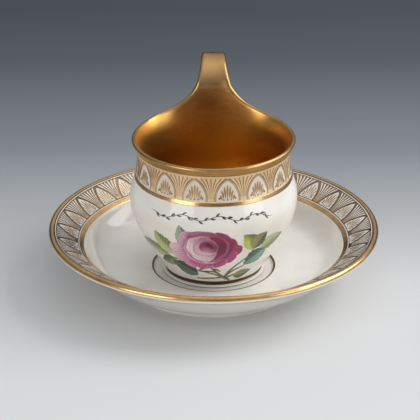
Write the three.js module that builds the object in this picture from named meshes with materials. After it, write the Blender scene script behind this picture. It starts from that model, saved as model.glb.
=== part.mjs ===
import * as THREE from 'three';

// A porcelain cup whose rim runs up into a strap handle, standing in the well of its saucer.
// Millimetres, +Z up. The origin is on the table under the middle of the saucer, the handle points to +Y.

// Cup bowl, with heights above the underside of its own foot
const cupHeight = 66;
const cupLipInset = 0.7; // lip inside the belly, on the radius
const cupLipWall = 2;
const cupNeckInset = 3.6; // neck inside the belly, on the radius
const cupNeckDrop = 8.8; // neck below the lip
const cupBellyRadius = 39.2;
const cupBellyHeight = 37.2;
const cupWaistRadius = 22.4;
const cupWaistHeight = 1.8;
const cupWall = 2.4;
const cupFloorThickness = 3.6;
const cupCove = 4; // rounded corner between the inside floor and the wall
const cupFootRadius = 24;
const cupFootEdge = 0.6; // upright edge of the foot
const cupFootWidth = 2.4;
const cupFootRecess = 1.4;

// Lean of the wall as radius over height, and fullness of its curves as a share of the rise they cover
const waistLean = 0.7;
const waistFullness = 0.365;
const bellyFullnessBelow = 0.28;
const bellyFullnessAbove = 0.4;
const neckFullnessBelow = 0.55;
const neckFullnessAbove = 0.4;
const lipLean = 0.7;
const lipFullness = 0.34;

// Handle: a strap that starts as a broad crescent on the lip and narrows as it rises
const handleFlare = 0.35; // backward lean of the rising strap, reach over height
const handleTopRise = 21.2; // middle of the strap above the lip
const handleTopReach = 11; // middle of the strap behind the lip, at the top
const handleBackRise = 6;
const handleBackReach = 23.5;
const handleLandingRise = 1.4; // end of the strap above the belly line
const handleLandingLean = 0.75; // fall of the strap for each step in, at its end
const handleThickness = 3;
const strapHalfWidth = 4.2;
const prowHalfWidth = 25; // added half width at the lip
const prowFade = 5.5; // rise over which that width falls to a third
const toeHalfWidth = 10;
const toeFade = 0.6;
const handleClearance = 0.3; // strap end to the belly
const handleRoundness = 0.55; // fullness of the handle's curves

// Saucer, with heights above the table
const saucerRadius = 77.5;
const saucerHeight = 28;
const saucerLipRound = 1.6; // half the thickness of the flange
const flangeSlope = THREE.MathUtils.degToRad(30);
const flangeWidth = 16.7;
const cavettoWidth = 10.8;
const saucerFloorHeight = 10; // upper face where the cavetto begins
const cavettoFullness = 0.6;
const wellHeight = 6.4;
const wellStep = 1;
const wellLean = 0.6; // width of the sloping step round the well
const wellClearance = 3.8; // foot of the cup to the well
const saucerBase = 3.2; // thickness under the well
const saucerFootRadius = 41.8;
const saucerFootWidth = 3;
const saucerFootHeight = 3.8;
const saucerFootFlare = 1.2; // foot ring wider at the top
const undersideReach = 17.5; // straight stretch under the flange
const undersideFullness = 0.32;

// Fired-on gold: layers that follow the porcelain
const giltThickness = 0.13;
const giltLift = 0.02; // clearance under a layer
const bareLine = 0.5; // white line left between two bands
const cupRimBand = 3.9;
const cupBorderBand = 11.8;
const cupBorderLine = 1.7;
const cupFootLine = 1.2;
const saucerRimBand = 3.4;
const saucerBorderBand = 9.9;
const saucerBorderLine = 2.2;

// Facets: round a revolved piece, along the stretches of a profile, and along and across the handle
const turns = 40;
const longSteps = 6;
const curveSteps = 4;
const borderSteps = 3;
const rimSteps = 2;
const climbSteps = 12;
const overSteps = 6;
const downSteps = 9;
const strapFacets = 12;

const porcelain = new THREE.MeshStandardMaterial({ color: 0xece8df, roughness: 0.15, metalness: 0 });
const burnishedGold = new THREE.MeshStandardMaterial({ color: 0xb98a45, roughness: 0.25, metalness: 1 });
const liningGold = new THREE.MeshStandardMaterial({ color: 0x9a6a2a, roughness: 0.35, metalness: 1 });
const borderGold = new THREE.MeshStandardMaterial({ color: 0xc9ab7c, roughness: 0.4, metalness: 0.8 });
const brownGold = new THREE.MeshStandardMaterial({ color: 0x7a5a38, roughness: 0.35, metalness: 0.9 });

const point = (radius, height) => new THREE.Vector2(radius, height);

// A named mesh of a profile in radius and height, turned about the Z axis.
// The profile runs anticlockwise: up on the outside, down on the inside.
function revolve(name, profile, material) {
  const geometry = new THREE.LatheGeometry(profile, turns).rotateX(Math.PI / 2);
  const mesh = new THREE.Mesh(geometry, material);
  mesh.name = name;
  return mesh;
}

// An open profile moved to the right of its direction, with mitred corners.
function offsetProfile(profile, distance) {
  const normals = [];
  for (let i = 1; i < profile.length; i++) {
    const step = profile[i].clone().sub(profile[i - 1]).normalize();
    normals.push(point(step.y, -step.x));
  }
  return profile.map((corner, i) => {
    const before = normals[Math.max(i - 1, 0)];
    const after = normals[Math.min(i, normals.length - 1)];
    const mitre = before.clone().add(after);
    return corner.clone().addScaledVector(mitre, (2 * distance) / mitre.lengthSq());
  });
}

// A gold layer on a stretch of porcelain profile. A stretch that ends on the axis closes there.
function layer(name, stretch, material) {
  const under = offsetProfile(stretch, giltLift).reverse();
  const over = offsetProfile(stretch, giltLift + giltThickness);
  const profile = [...under, ...over];
  if (profile[0].x > 0) profile.push(profile[0].clone());
  return revolve(name, profile, material);
}

// Evenly spaced values from one number to another, both included.
function spaced(from, to, steps) {
  return Array.from({ length: steps + 1 }, (_, i) => from + ((to - from) * i) / steps);
}

// Cup wall: foot to belly, belly to neck and neck to lip, each a Bezier curve of radius and height

const cupLipRadius = cupBellyRadius - cupLipInset;
const cupNeckRadius = cupBellyRadius - cupNeckInset;
const cupNeckHeight = cupHeight - cupNeckDrop;
const lowerRise = cupBellyHeight - cupWaistHeight;
const middleRise = cupNeckHeight - cupBellyHeight;

const cupWallCurves = [
  new THREE.CubicBezierCurve(
    point(cupWaistRadius, cupWaistHeight),
    point(cupWaistRadius + waistLean * waistFullness * lowerRise, cupWaistHeight + waistFullness * lowerRise),
    point(cupBellyRadius, cupBellyHeight - bellyFullnessBelow * lowerRise),
    point(cupBellyRadius, cupBellyHeight),
  ),
  new THREE.CubicBezierCurve(
    point(cupBellyRadius, cupBellyHeight),
    point(cupBellyRadius, cupBellyHeight + bellyFullnessAbove * middleRise),
    point(cupNeckRadius, cupNeckHeight - neckFullnessBelow * middleRise),
    point(cupNeckRadius, cupNeckHeight),
  ),
  new THREE.CubicBezierCurve(
    point(cupNeckRadius, cupNeckHeight),
    point(cupNeckRadius, cupNeckHeight + neckFullnessAbove * cupNeckDrop),
    point(cupLipRadius - lipLean * lipFullness * cupNeckDrop, cupHeight - lipFullness * cupNeckDrop),
    point(cupLipRadius, cupHeight),
  ),
];

// Outside radius of the cup at a height, found by halving the curve that covers it.
function cupRadius(height) {
  const curve = cupWallCurves.find((part) => height <= part.v3.y) ?? cupWallCurves.at(-1);
  let low = 0;
  let high = 1;
  for (let halving = 0; halving < 40; halving++) {
    const middle = (low + high) / 2;
    if (curve.getPoint(middle).y < height) low = middle;
    else high = middle;
  }
  return curve.getPoint(high).x;
}

const slopeStep = 0.5; // height either side over which the wall's slope is taken

// Inside radius at a height: the wall measured square to its slope, thinning from the neck to the lip.
function cupInsideRadius(height) {
  const below = Math.max(height - slopeStep, cupWaistHeight);
  const above = Math.min(height + slopeStep, cupHeight);
  const slope = (cupRadius(above) - cupRadius(below)) / (above - below);
  const towardsLip = THREE.MathUtils.smoothstep(height, cupNeckHeight, cupHeight);
  const wall = THREE.MathUtils.lerp(cupWall, cupLipWall, towardsLip);
  return cupRadius(height) - wall * Math.hypot(1, slope);
}

// Edges of the gold bands on the outside, counted down from the lip
const rimBandBottom = cupHeight - cupRimBand;
const borderTop = rimBandBottom - bareLine;
const borderBottom = borderTop - cupBorderBand;
const lineTop = borderBottom - bareLine;
const lineBottom = lineTop - cupBorderLine;
const footLineTop = cupWaistHeight + cupFootLine;

const outsideHeights = [
  cupWaistHeight,
  ...spaced(footLineTop, cupBellyHeight, longSteps),
  ...spaced(cupBellyHeight, lineBottom, borderSteps).slice(1),
  lineTop,
  ...spaced(borderBottom, borderTop, borderSteps),
  ...spaced(rimBandBottom, cupHeight, rimSteps),
];
const outsideWall = outsideHeights.map((height) => point(cupRadius(height), height));
const outsideBetween = (from, to) => outsideWall.filter((corner) => corner.y >= from && corner.y <= to);

const floorHeight = cupFootRecess + cupFloorThickness;
const floorCorner = cupInsideRadius(floorHeight);
const coveTop = point(cupInsideRadius(floorHeight + cupCove), floorHeight + cupCove);
const cove = new THREE.QuadraticBezierCurve(
  coveTop,
  point(floorCorner, floorHeight),
  point(floorCorner - cupCove, floorHeight),
);
const insideWall = [
  ...spaced(cupHeight, cupNeckHeight, rimSteps),
  ...spaced(cupNeckHeight, cupBellyHeight, curveSteps).slice(1),
  ...spaced(cupBellyHeight, coveTop.y, curveSteps).slice(1, -1),
].map((height) => point(cupInsideRadius(height), height));
const inside = [...insideWall, ...cove.getPoints(curveSteps), point(0, floorHeight)];

const footInnerRadius = cupFootRadius - cupFootWidth;
const cupFoot = [
  point(0, cupFootRecess),
  point(footInnerRadius - cupFootRecess, cupFootRecess),
  point(footInnerRadius, 0),
  point(cupFootRadius, 0),
  point(cupFootRadius, cupFootEdge),
];

// Handle: a curved strap section carried along a path in the plane of symmetry

const lipMiddle = cupLipRadius - cupLipWall / 2;
const handleSeat = cupHeight + giltLift + giltThickness;
const inPlane = (reach, height) => new THREE.Vector3(0, reach, height);

const handleRoot = inPlane(lipMiddle, handleSeat);
const handleTop = inPlane(cupLipRadius + handleTopReach, cupHeight + handleTopRise);
const handleBack = inPlane(cupLipRadius + handleBackReach, cupHeight + handleBackRise);
const landingHeight = cupBellyHeight + handleLandingRise;
const handleLanding = inPlane(cupRadius(landingHeight) + handleClearance, landingHeight);

const climb = (handleTop.z - handleRoot.z) * handleRoundness;
const overRun = (handleBack.y - handleTop.y) * handleRoundness;
const overFall = (handleTop.z - handleBack.z) * handleRoundness;
const downFall = (handleBack.z - handleLanding.z) * handleRoundness;
const inRun = (handleBack.y - handleLanding.y) * handleRoundness;

const handleCurves = [
  new THREE.CubicBezierCurve3(
    handleRoot,
    inPlane(handleRoot.y + handleFlare * climb, handleRoot.z + climb),
    inPlane(handleTop.y - overRun, handleTop.z),
    handleTop,
  ),
  new THREE.CubicBezierCurve3(
    handleTop,
    inPlane(handleTop.y + overRun, handleTop.z),
    inPlane(handleBack.y, handleBack.z + overFall),
    handleBack,
  ),
  new THREE.CubicBezierCurve3(
    handleBack,
    inPlane(handleBack.y, handleBack.z - downFall),
    inPlane(handleLanding.y + inRun, handleLanding.z + handleLandingLean * inRun),
    handleLanding,
  ),
];

// Half width of the strap at a rise above the lip: a slim strap, the prow's sweep and its long thin toes.
function strapReach(rise) {
  const sweep = prowHalfWidth * Math.exp(-rise / prowFade);
  const toes = toeHalfWidth * Math.exp(-rise / toeFade);
  return strapHalfWidth + sweep + toes;
}

// One section of the strap: an arc about the cup's axis at the lip, leaning with the path higher up.
// It starts on one edge and runs across the back face, over the other edge and back across the front face.
function strapSection(centre, tangent, halfWidth, thickness, upright) {
  const square = new THREE.Vector3(0, tangent.z, -tangent.y);
  const back = square.lerp(new THREE.Vector3(0, 1, 0), upright).normalize();
  const at = (share, depth) => {
    const angle = (share * halfWidth) / lipMiddle;
    const radius = lipMiddle + depth * thickness;
    const corner = centre.clone().addScaledVector(back, radius * Math.cos(angle) - lipMiddle);
    corner.x = radius * Math.sin(angle);
    return corner;
  };
  const edge = 1 + thickness / 4 / halfWidth;
  const across = spaced(-1, 1, strapFacets);
  return [
    at(-edge, 0),
    ...across.map((share) => at(share, 0.5)),
    at(edge, 0),
    ...across.map((share) => at(-share, -0.5)),
  ];
}

// Sections lie close together just above the lip, where the width changes fastest.
function handleSections() {
  const climbShares = spaced(0, 1, climbSteps).map((share) => share ** 2);
  const evenShares = [spaced(0, 1, overSteps).slice(1), spaced(0, 1, downSteps).slice(1)];
  const sections = [];
  [climbShares, ...evenShares].forEach((shares, part) => {
    for (const share of shares) {
      const centre = handleCurves[part].getPoint(share);
      const rise = part === 0 ? centre.z - handleRoot.z : Infinity;
      const grown = 1 - Math.exp(-rise / prowFade);
      const thickness = THREE.MathUtils.lerp(cupLipWall, handleThickness, grown);
      const tangent = handleCurves[part].getTangent(share);
      sections.push(strapSection(centre, tangent, strapReach(rise), thickness, 1 - grown));
    }
  });
  return sections;
}

// The last section is cut to the belly: each corner keeps its height and moves to the wall.
function seatOnBelly(section) {
  for (const corner of section) {
    const wall = cupRadius(corner.z) + handleClearance;
    corner.y = Math.sqrt(wall ** 2 - corner.x ** 2);
  }
}

// A closed skin over sections that have the same corners, with both ends capped by strips.
// Corner j of a section lies opposite corner count - j.
function loft(name, sections, material) {
  const count = sections[0].length;
  const indices = [];
  for (let i = 0; i + 1 < sections.length; i++) {
    for (let j = 0; j < count; j++) {
      const a = i * count + j;
      const b = i * count + ((j + 1) % count);
      indices.push(a, a + count, b, b, a + count, b + count);
    }
  }
  const last = (sections.length - 1) * count;
  const cap = (a, b, c) => indices.push(a, b, c, a + last, c + last, b + last);
  for (let j = 0; j < count / 2; j++) {
    const opposite = count - j;
    if (j + 1 < opposite - 1) cap(j, j + 1, opposite - 1);
    if (j > 0) cap(j, opposite - 1, opposite);
  }
  const geometry = new THREE.BufferGeometry().setFromPoints(sections.flat());
  geometry.setIndex(indices);
  geometry.computeVertexNormals();
  const mesh = new THREE.Mesh(geometry, material);
  mesh.name = name;
  return mesh;
}

const strapSections = handleSections();
seatOnBelly(strapSections.at(-1));

const cup = new THREE.Group();
cup.position.z = wellHeight;
cup.add(
  revolve('cup_bowl', [...cupFoot, ...outsideWall, ...inside], porcelain),
  loft('cup_handle', strapSections, burnishedGold),
  layer('cup_gilt_lining', inside, liningGold),
  layer('cup_rim_gilding', [...outsideBetween(rimBandBottom, cupHeight), inside[0]], burnishedGold),
  layer('cup_palmette_border', outsideBetween(borderBottom, borderTop), borderGold),
  layer('cup_border_line', outsideBetween(lineBottom, lineTop), burnishedGold),
  layer('cup_foot_line', outsideBetween(cupWaistHeight, footLineTop), brownGold),
);

// Saucer: from the middle of the underside out to the lip and back over the upper face

const lipCentre = point(saucerRadius - saucerLipRound, saucerHeight - saucerLipRound);
const flangeNormal = Math.PI / 2 + flangeSlope;
const lipArc = spaced(flangeNormal - Math.PI, flangeNormal, longSteps).map((angle) =>
  point(Math.cos(angle), Math.sin(angle)).multiplyScalar(saucerLipRound).add(lipCentre),
);
const flangeTop = lipArc.at(-1);
const onFlange = (radius) => point(radius, flangeTop.y - (flangeTop.x - radius) * Math.tan(flangeSlope));

// Edges of the gold bands on the flange, counted from the lip and from its inner edge
const flangeInner = onFlange(saucerRadius - flangeWidth);
const saucerRimEdge = onFlange(saucerRadius - saucerRimBand);
const saucerBorderOuter = onFlange(saucerRimEdge.x - bareLine);
const saucerBorderInner = onFlange(saucerBorderOuter.x - saucerBorderBand);
const saucerLineOuter = onFlange(flangeInner.x + saucerBorderLine);

const floorOuter = point(flangeInner.x - cavettoWidth, saucerFloorHeight);
const wellEdge = point(cupFootRadius + wellClearance + wellLean, wellHeight + wellStep);
const wellBottom = point(wellEdge.x - wellLean, wellHeight);
const floorLean = (floorOuter.y - wellEdge.y) / (floorOuter.x - wellEdge.x);
const cavettoRun = cavettoFullness * cavettoWidth;
const cavetto = new THREE.QuadraticBezierCurve(
  flangeInner,
  point(floorOuter.x + cavettoRun, floorOuter.y + floorLean * cavettoRun),
  floorOuter,
);

const footTop = point(saucerFootRadius + saucerFootFlare, saucerFootHeight);
const underLip = lipArc[0];
const underRun = undersideFullness * (underLip.x - footTop.x);
const underside = new THREE.CubicBezierCurve(
  footTop,
  point(footTop.x + underRun, footTop.y + floorLean * underRun),
  point(-Math.cos(flangeSlope), -Math.sin(flangeSlope)).multiplyScalar(undersideReach).add(underLip),
  underLip,
);

const baseHeight = wellHeight - saucerBase;
const footInside = saucerFootRadius - saucerFootWidth;
const saucerProfile = [
  point(0, baseHeight),
  point(footInside - saucerFootFlare, baseHeight),
  point(footInside, 0),
  point(saucerFootRadius, 0),
  ...underside.getPoints(longSteps).slice(0, -1),
  ...lipArc,
  saucerRimEdge,
  saucerBorderOuter,
  saucerBorderInner,
  saucerLineOuter,
  ...cavetto.getPoints(curveSteps),
  wellEdge,
  wellBottom,
  point(0, wellHeight),
];

const bareLipSteps = 2; // steps of the lip's round left bare underneath
const wellLineShare = 0.2; // part of the well's step left bare above and below its line
const saucer = new THREE.Group();
saucer.add(
  revolve('saucer_dish', saucerProfile, porcelain),
  layer('saucer_rim_gilding', [...lipArc.slice(bareLipSteps), saucerRimEdge], burnishedGold),
  layer('saucer_palmette_border', [saucerBorderOuter, saucerBorderInner], borderGold),
  layer('saucer_border_line', [saucerLineOuter, flangeInner], burnishedGold),
  layer(
    'saucer_well_line',
    [wellLineShare, 1 - wellLineShare].map((share) => wellEdge.clone().lerp(wellBottom, share)),
    brownGold,
  ),
);

const cupAndSaucer = new THREE.Group();
cupAndSaucer.add(saucer, cup);

export default cupAndSaucer;
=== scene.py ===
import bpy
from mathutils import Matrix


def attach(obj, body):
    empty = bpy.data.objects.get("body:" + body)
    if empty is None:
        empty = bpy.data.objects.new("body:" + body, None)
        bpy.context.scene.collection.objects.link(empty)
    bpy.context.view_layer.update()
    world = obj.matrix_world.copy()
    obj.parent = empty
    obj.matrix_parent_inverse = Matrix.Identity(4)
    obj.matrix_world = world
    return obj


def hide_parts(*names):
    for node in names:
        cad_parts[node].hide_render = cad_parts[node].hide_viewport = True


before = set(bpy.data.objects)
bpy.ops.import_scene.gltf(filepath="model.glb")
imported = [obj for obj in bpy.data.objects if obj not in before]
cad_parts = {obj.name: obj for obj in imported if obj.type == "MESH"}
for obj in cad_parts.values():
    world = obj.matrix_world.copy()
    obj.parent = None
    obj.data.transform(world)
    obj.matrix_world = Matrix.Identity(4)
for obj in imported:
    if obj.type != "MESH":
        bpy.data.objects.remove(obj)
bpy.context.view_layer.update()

import math

import bmesh
import bpy
import numpy as np

mm = 0.001  # shapes are worked out in millimetres and become metres in makePiece


# Small tools

def linear(hexColour):
    # sRGB to linear: c / 12.92 near black, otherwise ((c + 0.055) / 1.055) to the power 2.4
    c = np.array([int(hexColour[i:i + 2], 16) for i in (1, 3, 5)]) / 255
    return (*np.where(c <= 0.04045, c / 12.92, ((c + 0.055) / 1.055) ** 2.4).tolist(), 1.0)


def addNode(tree, kind, inputs=None, stops=(), **settings):
    # an input is a plain value or a (node, output) to link to; stops are the places and colours of a ramp
    made = tree.nodes.new("ShaderNode" + kind)
    for name, value in settings.items():
        setattr(made, name, value)
    for socket, value in (inputs or {}).items():
        if isinstance(value, tuple) and isinstance(value[0], bpy.types.Node):
            tree.links.new(value[0].outputs[value[1]], made.inputs[socket])
        else:
            made.inputs[socket].default_value = value
    for i, (place, code) in enumerate(stops):
        stop = made.color_ramp.elements[i] if i < 2 else made.color_ramp.elements.new(place)
        stop.position, stop.color = place, linear(code)
    return made


def startMaterial(name):
    # an empty material, its tree and the Object coordinates that its patterns read
    material = bpy.data.materials.new(name)
    material.use_nodes = True
    tree = material.node_tree
    tree.nodes.clear()
    return material, tree, (addNode(tree, "TexCoord"), "Object")


def finishMaterial(tree, inputs):
    shader = addNode(tree, "BsdfPrincipled", inputs)
    addNode(tree, "OutputMaterial", {"Surface": (shader, "BSDF")})


def addObject(name, data):
    made = bpy.data.objects.new(name, data)
    bpy.context.scene.collection.objects.link(made)
    return made


def smoothstep(low, high, x):
    t = np.clip((x - low) / (high - low), 0, 1)
    return t * t * (3 - 2 * t)


def cubic(a, b, c, d, count):
    # cubic Bezier through whole arrays: (1-t)^3 a + 3 (1-t)^2 t b + 3 (1-t) t^2 c + t^3 d
    t = np.linspace(0, 1, count)[:, None]
    a, b, c, d = (np.array(p, float) for p in (a, b, c, d))
    return (1 - t) ** 3 * a + 3 * (1 - t) ** 2 * t * b + 3 * (1 - t) * t ** 2 * c + t ** 3 * d


def quadratic(a, b, c, t):
    # quadratic Bezier: (1-t)^2 a + 2 (1-t) t b + t^2 c
    t = t[:, None]
    return (1 - t) ** 2 * np.array(a) + 2 * (1 - t) * t * np.array(b) + t ** 2 * np.array(c)


def lengthAlong(points):
    # running length of a polyline
    return np.concatenate([[0], np.cumsum(np.linalg.norm(np.diff(points, axis=0), axis=1))])


def resample(points, count):
    # points at even steps along a polyline
    along = lengthAlong(points)
    stations = np.linspace(0, along[-1], count)
    return np.stack([np.interp(stations, along, points[:, i]) for i in range(points.shape[1])], -1)


def rightOf(lines, axis=0):
    # unit vectors to the right of lines of points in a plane
    t = np.gradient(lines, axis=axis)
    t = t / np.linalg.norm(t, axis=-1, keepdims=True)
    return np.stack([t[..., 1], -t[..., 0]], -1)


def spin(radiusHeight, angle):
    # (radius, height) carried to an angle from the back: x = r sin a, y = r cos a
    r, z = radiusHeight[..., 0], radiusHeight[..., 1]
    return np.stack(np.broadcast_arrays(r * np.sin(angle), r * np.cos(angle), z), -1)


def spinFront(radiusHeight, azimuth):
    # the same with the angle from the front: x = r sin a, y = -r cos a
    return spin(radiusHeight, azimuth) * (1, -1, 1)


def revolve(profile, turns):
    # a profile carried right round the axis in equal turns
    return spin(profile[:, None], np.linspace(0, 2 * np.pi, turns + 1))


def gridFaces(rows, cols):
    # quads of a grid of points numbered row by row
    n = np.arange(rows * cols).reshape(rows, cols)
    return np.stack([n[:-1, :-1], n[:-1, 1:], n[1:, 1:], n[1:, :-1]], -1).reshape(-1, 4)


def joinGrids(grids):
    # grids of points (rows, columns, 3), or stacks of many equal ones, as one list of points and faces
    points, faces, start = [], [], 0
    for grid in grids:
        rows, cols = grid.shape[-3:-1]
        step = np.arange(0, grid.size // 3, rows * cols)[:, None, None]
        points.append(grid.reshape(-1, 3))
        faces.append((gridFaces(rows, cols) + step).reshape(-1, 4) + start)
        start += len(points[-1])
    return np.concatenate(points), np.concatenate(faces)


def weld(points, faces):
    # points on the same tenth of a micrometre become one, and quads that lost a corner become triangles
    _, first, which = np.unique(np.round(points, 4), axis=0, return_index=True, return_inverse=True)
    faces = which.reshape(-1)[faces]
    same = faces == np.roll(faces, -1, axis=1)
    lost = same.sum(1)
    triangles = faces[lost == 1][~same[lost == 1]].reshape(-1, 3)
    return first, faces[lost == 0], triangles


sharpAngle = math.radians(35)
plateThickness = 0.05


def makePiece(name, grids, material, body, nodes=(), values=None, plate=False):
    # welds the grids, turns the faces outwards, stores point values and hands the piece to its body;
    # a plate is an open sheet that already looks outwards and gets its thickness from a modifier
    points, faces = joinGrids(grids)
    first, quads, triangles = weld(points, faces)
    mesh = bpy.data.meshes.new(name)
    mesh.from_pydata((points[first] * mm).tolist(), [], quads.tolist() + triangles.tolist())
    for attribute, data in (values or {}).items():
        kind, field = ("FLOAT", "value") if data.ndim == 1 else ("FLOAT_COLOR", "color")
        stored = mesh.attributes.new(attribute, kind, "POINT")
        stored.data.foreach_set(field, data[first].astype(np.float32).ravel())
    if not plate:
        solid = bmesh.new()
        solid.from_mesh(mesh)
        bmesh.ops.recalc_face_normals(solid, faces=solid.faces)
        solid.to_mesh(mesh)
        solid.free()
    mesh.polygons.foreach_set("use_smooth", np.ones(len(mesh.polygons), bool))
    mesh.set_sharp_from_angle(angle=sharpAngle)
    if plate:
        # open edges are sharp, so that a thin plate reflects like the surface it lies on
        users = np.zeros(len(mesh.loops), np.int32)
        mesh.loops.foreach_get("edge_index", users)
        mesh.edges.foreach_set("use_edge_sharp", np.bincount(users, minlength=len(mesh.edges)) == 1)
    mesh.materials.append(material)
    piece = addObject(name, mesh)
    if plate:
        skin = piece.modifiers.new("plate", "SOLIDIFY")
        skin.thickness = plateThickness * mm
        skin.offset = -1
    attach(piece, body)
    if nodes:
        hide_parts(*nodes)
    print(f"{name}: {len(mesh.polygons)} faces")


goldLayer = {"sink": 0.08, "soft": 0.12}


def goldRing(profile, normal, lift):
    # closed section of a fired-on layer: the profile raised by lift, less at both edges, over a sunk back
    along = lengthAlong(profile)
    rise = lift * smoothstep(0, goldLayer["soft"], np.minimum(along, along[-1] - along))
    back = (profile - normal * goldLayer["sink"])[::-1]
    return np.concatenate([profile + normal * rise[:, None], back, profile[:1]])


# Materials

def glazedPorcelain(name, painted, shade="#ebe7de", white="#f5f2eb"):
    # hard-paste porcelain under a clear glaze: warm white, glossy, with a faint ripple and a few kiln specks;
    # where it is painted, fired enamel colour lies on the glaze, a little duller than it;
    # the painted contact shadow at the foot's standing edge is laid in the same way
    material, tree, spot = startMaterial(name)
    cloud = addNode(tree, "TexNoise", {"Scale": 45.0, "Detail": 3.0, "Vector": spot})
    tone = addNode(tree, "ValToRGB", {"Fac": (cloud, "Fac")}, ((0.35, shade), (0.68, white)))
    # specks about 0.15 mm across, some 9 mm apart
    cells = addNode(tree, "TexVoronoi", {"Scale": 110.0, "Vector": spot})
    speck = addNode(tree, "MapRange", {"Value": (cells, "Distance"), "From Min": 0.008, "From Max": 0.018,
                                       "To Min": 0.55, "To Max": 0.0})
    colour = addNode(tree, "Mix", {0: (speck, "Result"), 6: (tone, "Color"), 7: linear("#8a7a66")},
                     data_type="RGBA")
    # glaze ripple with waves of about 4 mm, and a slower change of gloss
    ripple = addNode(tree, "TexNoise", {"Scale": 240.0, "Detail": 2.0, "Vector": spot})
    bump = addNode(tree, "Bump", {"Strength": 0.05, "Distance": 0.0001, "Height": (ripple, "Fac")})
    gloss = addNode(tree, "MapRange", {"Value": (cloud, "Fac"), "To Min": 0.06, "To Max": 0.13})
    base, dull, height = (colour, 2), (gloss, "Result"), (bump, "Normal")
    if painted:
        paint = addNode(tree, "Attribute", attribute_name="paint")
        # brush marks of about 0.3 mm lighten and darken the enamel
        hairs = addNode(tree, "TexNoise", {"Scale": 2600.0, "Detail": 2.0, "Vector": spot})
        stroke = addNode(tree, "MapRange", {"Value": (hairs, "Fac"), "From Min": 0.3, "From Max": 0.7,
                                            "To Min": 0.86, "To Max": 1.1})
        shaded = addNode(tree, "VectorMath", {0: (paint, "Color"), 1: (stroke, "Result")},
                         operation="MULTIPLY")
        laid = addNode(tree, "Mix", {0: (paint, "Alpha"), 6: base, 7: (shaded, "Vector")}, data_type="RGBA")
        rough = addNode(tree, "Math", {0: (paint, "Alpha"), 1: 0.1, 2: dull}, operation="MULTIPLY_ADD")
        raised = addNode(tree, "Bump", {"Strength": 0.3, "Distance": 0.00005, "Height": (paint, "Alpha"),
                                        "Normal": height})
        base, dull, height = (laid, 2), (rough, "Value"), (raised, "Normal")
    finishMaterial(tree, {"IOR": 1.52, "Base Color": base, "Roughness": dull, "Normal": height})
    return material


def burnishedGold(name, bright, deep, smooth, rough, metal=1.0):
    # fired gold rubbed with an agate: mirror-like but streaked, a little deeper where it is thin;
    # left unrubbed it is matt, and scatters part of the light as a powder does
    material, tree, spot = startMaterial(name)
    cloud = addNode(tree, "TexNoise", {"Scale": 90.0, "Detail": 5.0, "Roughness": 0.6, "Vector": spot})
    tone = addNode(tree, "ValToRGB", {"Fac": (cloud, "Fac")}, ((0.32, deep), (0.62, bright)))
    # burnishing strokes run round the cup: noise drawn out level, about 0.4 mm a stroke
    squeeze = addNode(tree, "Mapping", {"Scale": (0.12, 0.12, 1.0), "Vector": spot})
    strokes = addNode(tree, "TexNoise", {"Scale": 1400.0, "Detail": 2.0, "Vector": (squeeze, "Vector")})
    gloss = addNode(tree, "MapRange", {"Value": (strokes, "Fac"), "From Min": 0.3, "From Max": 0.7,
                                       "To Min": smooth, "To Max": rough})
    # down inside the cup the gold is less rubbed, and its colour is mixed towards a warmer yellow as painted
    # reflection of the gold walls in each other
    inside = addNode(tree, "Attribute", attribute_name="deep")
    tone = addNode(tree, "Mix", {0: (inside, "Fac"), 6: (tone, "Color"), 7: linear("#cfa052")},
                   data_type="RGBA")
    gloss = addNode(tree, "Math", {0: (inside, "Fac"), 1: 0.08, 2: (gloss, "Result")},
                    operation="MULTIPLY_ADD")
    wave = addNode(tree, "TexNoise", {"Scale": 300.0, "Detail": 2.0, "Vector": spot})
    bump = addNode(tree, "Bump", {"Strength": 0.02, "Distance": 0.0001, "Height": (wave, "Fac")})
    finishMaterial(tree, {"Metallic": metal, "Base Color": (tone, 2), "Roughness": (gloss, "Value"),
                          "Normal": (bump, "Normal")})
    return material


def brownEnamel():
    # thin brown enamel drawn with a fine brush: nearly black where it pooled, browner where it ran out
    material, tree, spot = startMaterial("brownEnamelDrawn")
    pool = addNode(tree, "TexNoise", {"Scale": 420.0, "Detail": 3.0, "Vector": spot})
    tone = addNode(tree, "ValToRGB", {"Fac": (pool, "Fac")}, ((0.35, "#2b2420"), (0.65, "#5c4f45")))
    gloss = addNode(tree, "MapRange", {"Value": (pool, "Fac"), "To Min": 0.18, "To Max": 0.4})
    bump = addNode(tree, "Bump", {"Strength": 0.1, "Distance": 0.00005, "Height": (pool, "Fac")})
    finishMaterial(tree, {"Base Color": (tone, "Color"), "Roughness": (gloss, "Result"),
                          "Normal": (bump, "Normal")})
    return material


porcelain = glazedPorcelain("glazedHardPastePorcelain", False)
paintedPorcelain = glazedPorcelain("enamelPaintedPorcelainAndFootShadow", True)
# a creamier and darker tone of the same porcelain, for the white fields in the cup's border
creamPorcelain = glazedPorcelain("glazedPorcelainCreamierTone", False, "#dccfbc", "#eadfce")
brightGold = burnishedGold("firedGoldBurnished", "#dfb680", "#c89b66", 0.2, 0.28)
satinGold = burnishedGold("firedGoldSoftlyBurnished", "#c69d68", "#ae8550", 0.27, 0.35)
groundGold = burnishedGold("firedGoldMatt", "#eed4aa", "#dab98c", 0.5, 0.6, 0.4)
flangeGold = burnishedGold("firedGoldThinlyBurnished", "#e0bf95", "#c29a6e", 0.18, 0.26)
lineGold = burnishedGold("brownGoldPainted", "#684e34", "#463421", 0.25, 0.4, 0.65)
leafGold = burnishedGold("firedGoldDrawn", "#c09c6c", "#9c7a52", 0.4, 0.5, 0.6)
paleLineGold = burnishedGold("brownGoldThinlyPainted", "#ac8660", "#886646", 0.4, 0.5, 0.6)
drawnBrown = brownEnamel()
print("materials made")


# Cup wall: outside radius against height, with unit normals, running on above the lip where the rim rises

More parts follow.
